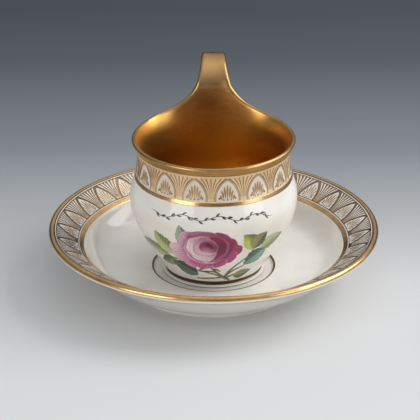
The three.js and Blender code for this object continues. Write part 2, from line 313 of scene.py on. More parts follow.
cupForm = {
    "stand": 6.4, "height": 66.0, "lip": 38.5, "lipLean": 0.7, "neck": 35.6, "neckHeight": 57.2,
    "belly": 39.2, "bellyHeight": 37.2, "waist": 22.4, "waistHeight": 1.8, "waistLean": 0.7,
    # each curve of the wall: shares of its height over which its lower and upper end pull, and its points
    "curves": ((0.365, 0.28, 220), (0.4, 0.55, 140), (0.4, 0.34, 120)),
    "prowLean": 0.36, "prowHeight": 16, "leanFade": 1.8, "easeFrom": 25, "backCurve": 0.0055,
    "flareEnds": (18, 55), "wall": 2.4, "lipWall": 2.0, "lipWallFrom": 2,
    "handleWall": 3.0, "handleWallTo": 24,
    "rimBand": 3.9, "rimLift": 0.03, "depth": 1.05, "tuck": 0.05, "slack": 0.05, "liningFoot": 4.4,
    "floor": 5.0, "cove": 4.0, "coveInset": 1.8, "hollowFloor": 3.0, "foot": 24.0, "footWidth": 2.4,
    # the foot's painted contact shadow: its colour, the heights over the stand where it fades out, and the
    # width of the edge it covers
    "footRecess": 1.4, "shelf": ((23.4, 1.1), (22.85, 1.27), (22.55, 1.48)), "footContactShadow": "#5f564b",
    "footShadowHeights": (0.75, 0.4), "footShadowWidth": 2, "turns": 256,
}
stand = cupForm["stand"]
neckTop = stand + cupForm["neckHeight"]
lipHeight = stand + cupForm["height"]


def cupWall(form):
    # Bezier curves waist to belly to neck to lip, then lip + lean h + (lipLean - lean) k (1 - exp(-h / k))
    knots = ((form["waist"], form["waistHeight"], form["waistLean"]), (form["belly"], form["bellyHeight"], 0),
             (form["neck"], form["neckHeight"], 0), (form["lip"], form["height"], form["lipLean"]))
    wall = []
    for (r, z, lean), (endR, endZ, endLean), (low, high, count) in zip(knots, knots[1:], form["curves"]):
        up, down = low * (endZ - z), high * (endZ - z)
        wall.append(cubic((r, z), (r + lean * up, z + up), (endR - endLean * down, endZ - down), (endR, endZ),
                          count)[:-1])
    h = np.linspace(0, form["prowHeight"], 200)
    lean, fade = form["prowLean"], form["leanFade"]
    prow = form["lip"] + lean * h + (form["lipLean"] - lean) * fade * (1 - np.exp(-h / fade))
    wall = np.concatenate([*wall, np.stack([prow, form["height"] + h], -1)])
    wall[:, 1] += form["stand"]
    return wall


wall = cupWall(cupForm)
wallLength = lengthAlong(wall)
wallNormal = rightOf(wall)


def atHeight(z):
    # running length of the wall at a height
    return np.interp(z, wall[:, 1], wallLength)


def turnedRadius(z):
    return np.interp(z, wall[:, 1], wall[:, 0])


def onWall(s, inset=0.0):
    # (radius, height) at running length s, moved in from the outside by inset, square to the wall
    point, normal = (np.stack([np.interp(s, wallLength, line[:, i]) for i in (0, 1)], -1)
                     for line in (wall, wallNormal))
    normal /= np.linalg.norm(normal, axis=-1)[..., None]
    return point - normal * np.asarray(inset)[..., None]


rimForm = {"strap": 5.56, "sweep": 26.3, "sweepFade": 6.04, "toes": 6.4, "toesFade": 0.83, "reference": 37.5}


def rimHalf(h):
    # unrolled half width of the rim at h above the lip: the strap, with a sweep and toes that fall away
    return (rimForm["strap"] + rimForm["sweep"] * np.exp(-h / rimForm["sweepFade"])
            + rimForm["toes"] * np.exp(-h / rimForm["toesFade"]))


def rimRise(angle):
    # the same the other way round: how high the edge stands above the lip at an angle from the back
    h = np.linspace(14, 0, 600)  # at 14 mm the edge is nearly the strap's
    return np.interp(np.abs(angle) * rimForm["reference"], rimHalf(h), h)


def frontShare(angle):
    # none at the back, all from the second of flareEnds onwards
    return smoothstep(*cupForm["flareEnds"], np.degrees(np.abs(angle)))


def backEase(angle, z):
    # how far the wall stands in from its turned form: none at the front; towards the back the flare climbs
    # with the edge and gives way to a wall that rises nearly straight from the neck, r = neck + curve h^2 / 2
    h = np.maximum(z - neckTop, 0)
    straight = cupForm["neck"] + cupForm["backCurve"] * h ** 2 / 2
    rise = rimRise(angle)
    flared = turnedRadius(z - rise * smoothstep(neckTop, lipHeight + rise, z))
    front = frontShare(angle)
    return np.where(h > 0, turnedRadius(z) - front * flared - (1 - front) * straight, 0.0)


def easeBack(points):
    # moves points of the turned wall in by backEase, but not those of the foot
    angle = np.arctan2(points[..., 0], points[..., 1])
    radius = np.hypot(points[..., 0], points[..., 1])
    radius = np.where(radius > cupForm["easeFrom"], radius - backEase(angle, points[..., 2]), radius)
    return np.stack([radius * np.sin(angle), radius * np.cos(angle), points[..., 2]], -1)


def rimPoint(angle, z):
    # (radius, height) of the eased outside and its unit normal, from the wall's lean at that height
    step = 0.4
    ends = [turnedRadius(z + d) - backEase(angle, z + d) for d in (-step, 0, step)]
    lean = (ends[2] - ends[0]) / (2 * step)
    size = np.sqrt(1 + lean ** 2)
    point = np.stack(np.broadcast_arrays(ends[1], z + 0 * ends[1]), -1)
    return point, np.stack([1 / size, -lean / size], -1)


def wallThickness(z, angle):
    # thins from the neck to the lip, but thickens slowly at the back, where the rim rises into the handle
    front = frontShare(angle)
    thin = smoothstep(neckTop + cupForm["lipWallFrom"], lipHeight, z)
    thick = smoothstep(neckTop, lipHeight + cupForm["handleWallTo"], z)
    return (cupForm["wall"] + front * thin * (cupForm["lipWall"] - cupForm["wall"])
            + (1 - front) * thick * (cupForm["handleWall"] - cupForm["wall"]))


def wrapCup(azimuth, s, lift):
    # painted things: azimuth from the front, running length up the wall, height above the glaze
    return easeBack(spinFront(onWall(s, -lift + 0 * s), azimuth))


# Cup body: white outer shell from the foot to under the rim band, hollow behind the gold lining

rimBottom = lipHeight - cupForm["rimBand"]
# the painted stretch of the wall: mm across at the reference radius, and along the wall from its middle
spray = {"across": (-49.0, 39.0), "along": (-26.0, 15.0), "step": 0.31, "reference": 36.0, "middle": 31.5,
         "shift": (-2.0, 0.8)}
sprayMiddle = atHeight(spray["middle"])


def cupShell(form):
    # one closed profile: recess, foot ring with eased edges, outside wall, then back down inside the wall
    foot, inner, recess = form["foot"], form["foot"] - form["footWidth"], form["footRecess"]
    base = np.array([
        (0, recess), (inner - 2.2, recess), (inner - 1.4, recess - 0.25), (inner - 0.35, 0.3), (inner, 0.06),
        (inner + 0.3, 0), (foot - 0.95, 0), (foot - 0.55, 0.07), (foot - 0.2, 0.27), (foot - 0.02, 0.55),
        (foot - 0.06, 0.8), (foot - 0.28, 1.0), *form["shelf"]]) + (0, stand)
    low, high = atHeight(stand + form["waistHeight"]), atHeight(rimBottom + form["tuck"])
    fine = sprayMiddle + np.arange(*spray["along"], spray["step"])
    s = np.concatenate([np.linspace(low, fine[0], 5)[:-1], fine, np.linspace(fine[-1], high, 26)[1:]])
    inside = onWall(np.linspace(high, low, 18), form["depth"])
    bottom = stand + form["hollowFloor"]
    floor = np.array([(inside[-1, 0] - 1, bottom), (0, bottom)])
    return np.concatenate([base, onWall(s), inside[inside[:, 1] > bottom + 0.4], floor]), len(base), s


def mixed(a, b, share):
    return a + (b - a) * share[..., None]


def hue(code):
    return np.array(linear(code)[:3])


class Canvas:
    # enamel colours laid one over the other on points (x, y) of the unrolled wall, in mm
    def __init__(self, x, y):
        self.x, self.y = x, y
        self.colour = np.ones(x.shape + (3,))
        self.cover = np.zeros(x.shape)

    def lay(self, colour, mask):
        self.colour = mixed(self.colour, colour, mask)
        self.cover = self.cover + (1 - self.cover) * mask

    def along(self, base, tip):
        # length from base to tip, share of that way at each point and mm to the right of it
        way = np.subtract(tip, base)
        size = np.hypot(*way)
        dx, dy = self.x - base[0], self.y - base[1]
        return size, (dx * way[0] + dy * way[1]) / size ** 2, (dx * way[1] - dy * way[0]) / size

    def around(self, centre, radii):
        return (self.x - centre[0]) / radii[0], (self.y - centre[1]) / radii[1]

    def petal(self, base, tip, wide, inner, outer, rim, seed):
        # ellipse from base to tip, wider towards the tip, with a wavy edge: (2v - 1)^2 + (w / wide)^2 below 1
        _, v, w = self.along(base, tip)
        turn = np.arctan2(2 * v - 1, w / wide)
        q = (2 * v - 1) ** 2 + (w / (wide * (0.75 + 0.4 * np.clip(v, 0, 1)))) ** 2
        q = q * (1 + 0.06 * np.sin(3 * turn + seed) + 0.03 * np.sin(7 * turn + 2 * seed))
        self.lay(hue("#7a2a4c"), 0.35 * smoothstep(1.22, 0.95, q) * smoothstep(0.05, 0.3, self.cover))
        strokes = np.sin(w * 5.1 / (0.6 + v) + seed) + 0.7 * np.sin(w * 8.3 / (0.6 + v) + 2.3 * seed)
        tone = mixed(hue(inner), hue(outer), smoothstep(0.1, 0.85, v + 0.1 * strokes))
        tone = mixed(tone, hue(rim), 0.35 * smoothstep(0.6, 1.5, strokes) * smoothstep(0.2, 0.6, v))
        tone = mixed(tone, hue(rim), smoothstep(0.72, 0.95, q) * smoothstep(0.35, 0.75, v))
        self.lay(tone, smoothstep(1.0, 0.88, q))

    def fold(self, centre, radii, left, right, top, bottom, rim, seed):
        # rounded inner petal: its colour by direction, each side weighted with the square of its share
        dx, dy = self.around(centre, radii)
        q = np.hypot(dx, dy) + 1e-9
        turn = np.arctan2(dy, dx)
        wave = (0.07 * np.sin(2 * turn + seed) + 0.05 * np.sin(3 * turn + 2 * seed)
                + 0.03 * np.sin(7 * turn + seed))
        edge = q * (1 + wave)
        shares = (np.maximum(side / q, 0) ** 2 for side in (-dx, dx, dy, -dy))
        tone = sum(hue(c) * k[..., None] for c, k in zip((left, right, top, bottom), shares))
        strokes = np.sin(17 * turn + seed) + 0.6 * np.sin(31 * turn + 3 * seed)
        tone = tone * (0.78 + 0.26 * smoothstep(0.3, 0.95, edge + 0.1 * strokes))[..., None]
        tone = mixed(tone, 1 - 0.55 * (1 - tone), rim * smoothstep(0.8, 0.97, edge))
        self.lay(hue("#5e1234"), 0.4 * smoothstep(1.14, 0.97, edge))
        self.lay(tone, smoothstep(1.0, 0.94, edge))

    def curl(self, centre, radii, start, turned, wide, colour, strength):
        # brush stroke along part of an ellipse, from start degrees onwards, half width wide sqrt(4 u (1 - u))
        dx, dy = self.around(centre, radii)
        u = np.mod(np.arctan2(dy, dx) - math.radians(start), 2 * np.pi) / math.radians(turned)
        half = wide * np.sqrt(np.clip(4 * u * (1 - u), 1e-6, 1))
        far = np.abs(np.hypot(dx, dy) - 1 - 0.12 * (u - 0.5)) * min(radii)
        self.lay(hue(colour), strength * smoothstep(1.0, 0.35, far / half) * (u < 1))

    def leaf(self, base, tip, wide, bend, light, dark, vein):
        # blade about a bowed midrib, half width wide sin(pi v)^0.8 (1.2 - 0.4 v), lighter on one side
        size, v, w = self.along(base, tip)
        v = np.clip(v, 0, 1)
        w = w - 4 * bend * v * (1 - v)
        half = wide * np.sin(np.pi * v) ** 0.8 * (1.2 - 0.4 * v) * (1 + 0.05 * np.sin(11 * v * np.pi))
        share = np.abs(w) / np.maximum(half, 1e-6)
        ribs = 0.5 + 0.5 * np.cos(2 * np.pi * (v * size - 0.8 * np.abs(w)) / 1.9)
        tone = mixed(hue(light), hue(dark), smoothstep(-0.5, 0.5, w / wide + 0.5 * (v - 0.5)))
        tone = mixed(tone, hue(vein), 0.45 * smoothstep(0.75, 1.0, ribs) * smoothstep(0.05, 0.3, share))
        tone = mixed(tone, hue(dark), 0.7 * smoothstep(0.78, 0.98, share))
        tone = mixed(tone, hue(vein), 0.8 * smoothstep(0.4, 0.12, np.abs(w)))
        self.lay(tone, smoothstep(0.0, 0.35, half - np.abs(w)))

    def stem(self, start, middle, end, wide=0.85, colour="#45432a"):
        # distance to a quadratic curve of 60 points, thinner towards its end
        t = np.linspace(0, 1, 60)
        far = np.full(self.x.shape, 99.0)
        for (cx, cy), share in zip(quadratic(start, middle, end, t), t):
            far = np.minimum(far, np.hypot(self.x - cx, self.y - cy) - wide * (1 - 0.45 * share))
        tone = mixed(hue(colour), hue("#a3a06a"), 0.6 * smoothstep(-0.2, -0.5, far))
        self.lay(tone, smoothstep(0.2, -0.1, far))


# a full-blown rose of the common kind with leaves and stems, as dozens of painters put it on cups,
# in the order in which it is painted
sprayStrokes = (
    (Canvas.stem, (
        ((12.5, -25), (6, -21), (-1, -12)), ((10, -24), (4, -18), (-14, -15)),
        ((9, -22), (11, -14), (24, -4)), ((11, -22.5), (16, -19), (25, -20)),
        ((9, -22), (0, -23), (-9, -23.5)), ((4, -18), (2, -16), (-6, -17)),
        ((10, -21), (12, -17), (19, -14)), ((-12, -9), (-17, -9.5), (-22, -9)))),
    # long and short at the left, blue-green bud, dark lower left, three at the right, small lower right
    (Canvas.leaf, (
        ((-20, -10), (-44, -6), 4.4, 2.2, "#bcc58e", "#68794b", "#8a9a62"),
        ((-18, -9), (-31, -15), 3.8, -1.0, "#8d9f62", "#46572f", "#74854c"),
        ((-16.5, -6), (-26.5, 6.5), 5.4, -1.4, "#c0ca86", "#667c40", "#dadfab"),
        ((-12, 0), (-13.2, 13.0), 3.6, 0.8, "#9fb7a4", "#476656", "#c0cfbe"),
        ((-7.5, -20.5), (-22, -12), 5.8, 0.9, "#5f7263", "#26332d", "#8b9a86"),
        ((24.5, -5), (39, 1.5), 4.6, -1.6, "#c0c795", "#76844f", "#98a36e"),
        ((21.5, -3), (15, 8), 4.4, 1.5, "#c9ce6c", "#6c7a34", "#a3aa50"),
        ((21, -2.5), (27, 7), 4.2, -1.2, "#948f5c", "#4a4628", "#b0ab7c"),
        ((30, -5), (18.5, -13.5), 6.0, 0.8, "#66a08e", "#1e3a36", "#9cbfb0"),
        ((14, -21.5), (27, -19.5), 3.9, 0.6, "#8d8a52", "#45421f", "#a8a56c"))),
    # pale at the left, mauve above, crimson at the right, magenta below
    (Canvas.petal, (
        ((-6, 0), (-19.5, -2.0), 4.6, "#bf6c92", "#e8c3d0", "#f3dfe4", 0.4),
        ((-6, -3), (-19.2, -7.0), 4.4, "#b65f88", "#e3b4c6", "#f1d9e0", 1.7),
        ((-3, -4), (-13.5, -12.0), 5.6, "#ad4d7d", "#d790b0", "#e9c3d2", 2.9),
        ((-5, 2), (-13.0, 8.0), 5.4, "#a8628a", "#cfa0b8", "#dcbecb", 0.9),
        ((5, 0), (15.8, -2.0), 4.2, "#7d163f", "#a42b59", "#c4668a", 3.7),
        ((5, 2), (12.5, 4.2), 4.2, "#761339", "#98264f", "#b25a7c", 1.1),
        ((4, -2), (12.8, -8.0), 4.8, "#86184a", "#b03a72", "#cf86a8", 2.2),
        ((1, -4), (5.5, -13.2), 5.8, "#93205a", "#bb4382", "#d68cb0", 4.1),
        ((-3, -4), (-4.5, -14.6), 6.4, "#a02f68", "#c65c94", "#dda0bd", 5.2),
        ((3, 3), (7.5, 9.2), 5.4, "#7d1d47", "#9c3b66", "#b36689", 0.2),
        ((-3, 3), (-3.2, 11.2), 7.2, "#8f3a66", "#b0688c", "#c596ad", 2.6))),
    # the bowl of petals round the heart: pale at the left and below, crimson at the right
    (Canvas.fold, (
        ((-1.6, -0.4), (10.4, 9.2), "#d59ab3", "#8a1d4b", "#a25579", "#b54a80", 0.3, 0.7),
        ((1.6, 0.6), (7.6, 8.4), "#c07698", "#720f37", "#87294f", "#9c2760", 0.2, 2.1),
        ((-3.2, -0.2), (7.6, 8.2), "#f3dde2", "#a63a69", "#bd7f9a", "#ecccd6", 0.45, 1.3),
        ((-1.4, 1.2), (5.6, 5.2), "#dfaabd", "#93244f", "#a5557b", "#deacbf", 0.3, 3.3),
        ((-0.9, 1.9), (3.5, 3.1), "#9c3a66", "#640c2e", "#701640", "#a84f78", 0.2, 0.3))),
    # brush strokes curling round the heart, from the outer petals inwards
    (Canvas.curl, (
        ((-2.6, -1.2), (9.2, 8.6), 195, 110, 0.75, "#f6e6ea", 0.75),
        ((-2.4, -0.4), (7.0, 6.6), 150, 95, 0.55, "#dcb0c2", 0.7),
        ((-2.2, -0.8), (6.3, 6.6), 215, 100, 0.6, "#e3bccb", 0.7),
        ((-1.8, 0.2), (5.2, 5.4), 140, 90, 0.5, "#c07a9b", 0.7),
        ((-1.0, 0.6), (6.8, 7.0), 305, 95, 0.8, "#6b0d35", 0.8),
        ((0.2, 0.6), (8.2, 7.6), 300, 110, 0.7, "#b64c79", 0.7),
        ((1.6, 0.8), (8.6, 8.4), 290, 120, 0.6, "#5e0a2d", 0.7),
        ((-0.4, 1.4), (6.4, 6.0), 20, 110, 0.6, "#8b2b57", 0.75),
        ((-1.6, 1.6), (7.4, 6.6), 70, 90, 0.55, "#d7a2b8", 0.6),
        ((-1.0, 0.8), (4.4, 4.2), 200, 120, 0.5, "#ecc9d4", 0.8),
        ((-0.6, 1.2), (3.9, 3.6), 300, 110, 0.5, "#7a123f", 0.8),
        ((-1.2, 1.6), (3.0, 2.8), 110, 130, 0.45, "#7c1b46", 0.8),
        ((-0.6, 1.9), (2.3, 2.1), 190, 130, 0.4, "#d58fae", 0.8),
        ((-0.5, 2.2), (1.7, 1.6), 340, 150, 0.4, "#4d0722", 0.85),
        ((-0.9, 1.8), (0.9, 0.9), 200, 170, 0.35, "#c06a93", 0.8),
        ((-2.6, -3.2), (8.8, 5.2), 205, 120, 0.6, "#c26b97", 0.6),
        ((-0.8, -4.4), (9.6, 6.0), 215, 110, 0.6, "#8f1f58", 0.55))),
    # sepals at the foot of the rose
    (Canvas.leaf, (
        ((-1, -13), (-7.5, -17.5), 1.1, 0.5, "#a5ad60", "#5a6334", "#7d8648"),
        ((1, -14), (6.5, -17.8), 1.0, -0.5, "#8a9150", "#474d28", "#6b713c"))),
)

profile, baseRows, wallRows = cupShell(cupForm)
across = np.arange(*spray["across"], spray["step"]) / spray["reference"]
# angles from the back: fine steps over the painting, coarse ones round the rest
angles = np.concatenate([np.linspace(0, np.pi + across[0], 52)[:-1], np.pi + across,
                         np.linspace(np.pi + across[-1], 2 * np.pi, 52)[1:]])[::-1]
overX, overY = np.meshgrid((np.pi - angles) * spray["reference"], wallRows - sprayMiddle)
canvas = Canvas(overX - spray["shift"][0], overY - spray["shift"][1])
for brush, strokes in sprayStrokes:
    for stroke in strokes:
        brush(canvas, *stroke)
paint = np.zeros((len(profile), len(angles), 4))
paint[baseRows:baseRows + len(wallRows)] = np.concatenate([canvas.colour, canvas.cover[..., None]], -1)
# painted shadow: the standing edge of the foot is darkened grey-brown, for the contact shadow where it stands
# on the saucer
standing = profile[:baseRows, :1] > cupForm["foot"] - cupForm["footShadowWidth"]
paint[:baseRows, :, :3] = hue(cupForm["footContactShadow"])
paint[:baseRows, :, 3] = smoothstep(*cupForm["footShadowHeights"], profile[:baseRows, 1:] - stand) * standing
makePiece("cupBody", [easeBack(spin(profile[:, None], angles))], paintedPorcelain, "cup",
          ["cup_bowl"], {"paint": paint.reshape(-1, 4)})


# Gold lining, rim and handle: one skin that lines the cup, turns over the lip and runs up into the strap

handleForm = {
    "cut": 11.5, "top": (49.5, 93.6), "back": (62.0, 78.4), "landing": (39.5, 45.0), "landingLean": 0.75,
    "roundness": 0.55, "overRun": 6.9, "sink": 1.6, "bow": 95.0, "bowRun": 12, "leanRun": 9, "stretch": 1.06,
    "pad": 1.6, "padWall": 1.0, "padFade": 3.0, "deepEnds": (-9, 6), "rowsSplit": 60.0,
    "lipSteps": 84, "riseSteps": 72, "strapColumns": 9, "pathStep": 0.8, "roundSteps": 9,
}


def rimOutline(form):
    # unrolled rim, right half, from the front to the strap: level, then rising as in rimHalf
    # heights in fine steps over the toes
    h = np.concatenate([np.linspace(0, 1.2, 160)[1:], np.linspace(1.2, 60, 1200)[1:]])
    level = np.linspace(np.pi * rimForm["reference"], rimHalf(0), form["lipSteps"])
    outline = np.concatenate([np.stack([level, 0 * level], -1), np.stack([rimHalf(h), h], -1)])
    # the middle of the rounded edge lies half a wall inside the outline
    half = wallThickness(lipHeight + outline[:, 1], outline[:, 0] / rimForm["reference"]) / 2
    return outline - half[:, None] * rightOf(outline)


edge = rimOutline(handleForm)
cutAt = np.argmax(edge[:, 1] > handleForm["cut"])
levelEnd = handleForm["lipSteps"] - 1
rim = np.concatenate([edge[:levelEnd], resample(edge[levelEnd:cutAt + 1], handleForm["riseSteps"])])
# columns of the lining by angle from the back, with the height of the edge over each
phi = rim[::-1, 0] / rimForm["reference"]
phiCut = phi[0]
phi = np.concatenate([np.linspace(0, phiCut, handleForm["strapColumns"])[:-1], phi])
topOf = np.concatenate([np.full(handleForm["strapColumns"] - 1, rim[-1, 1]), rim[::-1, 1]]) + lipHeight
phi = np.concatenate([-phi[:0:-1], phi])
topOf = np.concatenate([topOf[:0:-1], topOf])
topOfCut = topOf[len(topOf) // 2]


def liningGrids(form, split):
    # inside face, outside face of the rim band and the hidden back within the wall, as columns of the rim
    def everyColumn(line):
        return np.repeat(line[:, None], len(phi), 1)

    floorHeight = stand + form["floor"]
    v = np.linspace(0, 1, 26)[1:, None]
    level = everyColumn(np.linspace(floorHeight + form["cove"], split, 46))
    z = np.concatenate([level, split + v * (topOf - split)])
    point, normal = rimPoint(phi, z)
    inside = point - normal * wallThickness(z, phi)[..., None]
    # rounded corner between wall and floor, then the flat floor
    wallFoot = np.interp(floorHeight, inside[:, 0, 1], inside[:, 0, 0])
    corner = np.array([wallFoot - form["coveInset"], floorHeight])
    floorEdge = corner - (form["cove"], 0)
    cove = quadratic(floorEdge, corner, inside[0, 0], np.linspace(0, 1, 9)[:-1])
    floor = np.stack([np.linspace(0, floorEdge[0], 8)[:-1], np.full(7, floorHeight)], -1)
    inside = np.concatenate([everyColumn(np.concatenate([floor, cove])), inside])
    w = np.linspace(0, 1, 22)[:, None]
    outside, outNormal = rimPoint(phi, rimBottom + w * (topOf - rimBottom))
    outside = outside + outNormal * (form["rimLift"] * (1 - smoothstep(0, 0.4, w)))[..., None]
    # the back keeps clear of the shell's inside by the slack
    down = np.linspace(atHeight(rimBottom), atHeight(stand + form["liningFoot"]), 20)
    back = onWall(down, form["depth"] + form["slack"])
    bottom = stand + form["hollowFloor"] + 2 * form["slack"]
    back = np.concatenate([back, [(back[-1, 0] - 1, bottom), (0, bottom)]])
    hidden = np.concatenate([outside[:1], everyColumn(back)])
    inside, outside, hidden = (spin(grid, phi) for grid in (inside, outside, hidden))
    hidden[1:] = easeBack(hidden[1:])
    return inside, outside, hidden


def strapFrame(form):
    # the strap's middle line in the plane of the handle, with the lean of the path and the way along it
    start, normal = rimPoint(0.0, topOfCut)
    start = start - normal * wallThickness(start[1], 0.0) / 2
    lean = np.array([-normal[1], normal[0]])
    top, back, landing = (np.array(form[k]) for k in ("top", "back", "landing"))
    run, k = form["overRun"], form["roundness"]
    inRun = k * (back[0] - landing[0])
    arrive = landing + (inRun, form["landingLean"] * inRun)
    beyond = landing - form["sink"] * (arrive - landing) / np.linalg.norm(arrive - landing)
    path = np.concatenate([
        cubic(start, start + lean * k * (top[1] - start[1]), top - (run, 0), top, 200)[:-1],
        cubic(top, top + (run, 0), back + (0, k * (top[1] - back[1])), back, 160)[:-1],
        cubic(back, back - (0, k * (back[1] - landing[1])), arrive, landing, 260)[:-1],
        np.linspace(landing, beyond, 8)])
    total = lengthAlong(path)[-1]
    count = int(total / form["pathStep"])
    middle = resample(path, count)
    t = np.gradient(middle, axis=0)
    t[0] = lean
    return middle, np.unwrap(np.arctan2(t[:, 0], t[:, 1])), np.linspace(0, total, count)


def strapGrids(form):
    # section at each station: an arc of radius bow across the strap, its edges half a wall inside the outline
    middle, lean, station = strapFrame(form)
    grown = smoothstep(0, form["bowRun"], station)
    # the part of the lean that is the cup wall's
    ownLean = lean[0] * (1 - smoothstep(0, form["leanRun"], station))
    frameLean = lean - ownLean
    bow = middle[0, 0] + (form["bow"] - middle[0, 0]) * grown
    toEnd = station[-1] - form["sink"] - station
    pad = np.exp(-np.maximum(toEnd, 0) / form["padFade"])
    climbed = station / form["stretch"]
    half = np.interp(edge[cutAt, 1] + climbed, edge[cutAt - 5:, 1], edge[cutAt - 5:, 0])
    half = half * (1 + (middle[0, 0] / rimForm["reference"] - 1) * (1 - grown)) + form["pad"] * pad
    half[0] = phiCut * middle[0, 0]
    thick = wallThickness(lipHeight + rim[-1, 1] + climbed, 0.0) + form["padWall"] * pad
    thick[0] = wallThickness(topOfCut, 0.0)
    thick[-1] = 0  # closes the end, inside the belly
    a = np.linspace(-1, 1, 2 * form["strapColumns"] - 1) * (half / bow)[:, None]
    zero = np.zeros_like(frameLean)
    radial = np.stack([zero, np.cos(frameLean), -np.sin(frameLean)], -1)[:, None]
    upward = np.stack([zero, np.sin(frameLean), np.cos(frameLean)], -1)[:, None]
    side = np.array([1.0, 0, 0])
    sinA, cosA = np.sin(a)[..., None], np.cos(a)[..., None]
    centre = np.stack([zero, middle[:, 0], middle[:, 1]], -1)[:, None]
    sheet = centre + bow[:, None, None] * (side * sinA - radial * (1 - cosA))
    cosLean, sinLean = np.cos(ownLean)[:, None, None], np.sin(ownLean)[:, None, None]
    return sheet, cosLean * (side * sinA + radial * cosA) - sinLean * upward, thick


def edgeRound(middleLine, normal, thick, steps):
    # half round along an edge: middle + half thickness (normal cos a + out sin a), a from 0 to 180 degrees
    out = np.cross(normal, np.gradient(middleLine, axis=0))
    out /= np.linalg.norm(out, axis=1)[:, None]
    out *= np.sign(out[len(out) // 2, 2])
    a = np.linspace(0, np.pi, steps)[None, :, None]
    ring = normal[:, None] * np.cos(a) + out[:, None] * np.sin(a)
    return middleLine[:, None] + thick[:, None, None] / 2 * ring


lining, band, hidden = liningGrids(cupForm, handleForm["rowsSplit"])
sheet, sheetNormal, sheetThick = strapGrids(handleForm)
sheetHalf = sheetNormal * sheetThick[:, None, None] / 2
lip, lipNormal = rimPoint(phi, topOf)
lipThick = wallThickness(lip[:, 1], phi)
lipMiddle = spin(lip - lipNormal * lipThick[:, None] / 2, phi)
lipNormal = spin(lipNormal, phi)
right = (phi >= phiCut - 1e-9)
left = (phi <= -phiCut + 1e-9)


def edgeOf(strapLeft, lipValues, strapRight):
    # the rim's edge as one line: down the left of the strap, round the front of the cup, up the right
    front = [lipValues[left][::-1], lipValues[right][::-1][1:]]
    return np.concatenate([strapLeft[:0:-1], *front, strapRight[1:]])


rounded = edgeRound(edgeOf(sheet[:, 0], lipMiddle, sheet[:, -1]),
                    edgeOf(sheetNormal[:, 0], lipNormal, sheetNormal[:, -1]),
                    edgeOf(sheetThick, lipThick, sheetThick), handleForm["roundSteps"])
skin = [lining, band, hidden, sheet - sheetHalf, sheet + sheetHalf, rounded]
# depth below the lip on the inside, for the softer burnish and the painted warmer reflection colour down
# there
deep = np.concatenate([smoothstep(*handleForm["deepEnds"], lipHeight - lining[..., 2]).ravel(),
                       *(np.zeros(grid[..., 0].size) for grid in skin[1:])])
makePiece("cupLiningAndHandle", skin, satinGold, "cup",
          ["cup_gilt_lining", "cup_rim_gilding", "cup_handle"], {"deep": deep})


# Gold bands on the cup: lower and upper height, lift over the glaze and points across

cupBands = {"border": (55.75, 68.44, 0.03, 24), "line": (53.9, 55.7, 0.06, 10), "foot": (8.2, 9.9, 0.04, 16)}


def cupBand(name, band, material, node, below=()):
    # a band over part of the wall, and over the points below it where there are any
    low, high, lift, count = cupBands[band]
    profile = onWall(np.linspace(atHeight(low), atHeight(high), count))
    profile = resample(np.concatenate([np.reshape(below, (-1, 2)) + (0, stand), profile]), count)
    grid = revolve(goldRing(profile, rightOf(profile), lift), cupForm["turns"])
    makePiece(name, [easeBack(grid)], material, "cup", [node])


cupBand("cupBorderGround", "border", groundGold, "cup_palmette_border")
cupBand("cupBorderLine", "line", brightGold, "cup_border_line")
cupBand("cupFootLine", "foot", lineGold, "cup_foot_line", cupForm["shelf"][1:])


# Saucer

saucerForm = {
    "radius": 77.5, "height": 28.0, "lipRound": 1.6, "lipAngles": (120, -60), "slope": math.radians(30),
    "flange": 16.7, "flangeEnd": 2.6, "cavetto": 10.8, "cavettoPull": 0.6, "floorHeight": 10.0,
    "well": 27.8, "wellHeight": 6.4, "wellStep": 1.0, "wellLean": 0.6, "underRun": 17.5, "underPull": 0.32,
    "base": 3.2, "foot": 41.8, "footWidth": 3.0, "footHeight": 3.8, "footFlare": 1.2, "turns": 320,
    # rim gold: radii on the flange, lift over the glaze and the angle that it reaches on the lip's round
    "rimGold": (74.6, 75.0, 0.03, -8), "wellLift": 0.05,
    # the well line's points from the top of the well's step
    "wellRing": ((-0.15, -0.31), (-0.1, -0.2), (0.12, -0.03), (0.5, 0.07), (0.8, 0.118)),
    # bands on the flange: inner and outer radius, lift over the glaze and points across
    "bands": {
        "saucerBorderGround": (63.7, 74.15, 0.03, 16), "saucerBorderLine": (61.2, 63.35, 0.05, 10),
        "saucerRimLine": (74.57, 75.1, 0.06, 5), "saucerBorderTop": (73.7, 74.15, 0.1, 5),
        "saucerBorderFoot": (63.75, 64.2, 0.1, 5)},
}
lipCentre = np.array([saucerForm["radius"], saucerForm["height"]]) - saucerForm["lipRound"]
wellTop = np.array([saucerForm["well"], saucerForm["wellHeight"]])
wellTop += (saucerForm["wellLean"], saucerForm["wellStep"])


def saucerLip(start, end, count):
    # the lip's round between two angles in degrees
    a = np.radians(np.linspace(start, end, count))
    return lipCentre + saucerForm["lipRound"] * np.stack([np.cos(a), np.sin(a)], -1)


def flangePoint(radius):
    # upper face of the flange: a straight slope that meets the lip's round
    slope = saucerForm["slope"]
    top = lipCentre + saucerForm["lipRound"] * np.array([-math.sin(slope), math.cos(slope)])
    radius = np.asarray(radius, float)
    return np.stack([radius, top[1] - (top[0] - radius) * math.tan(slope)], -1)


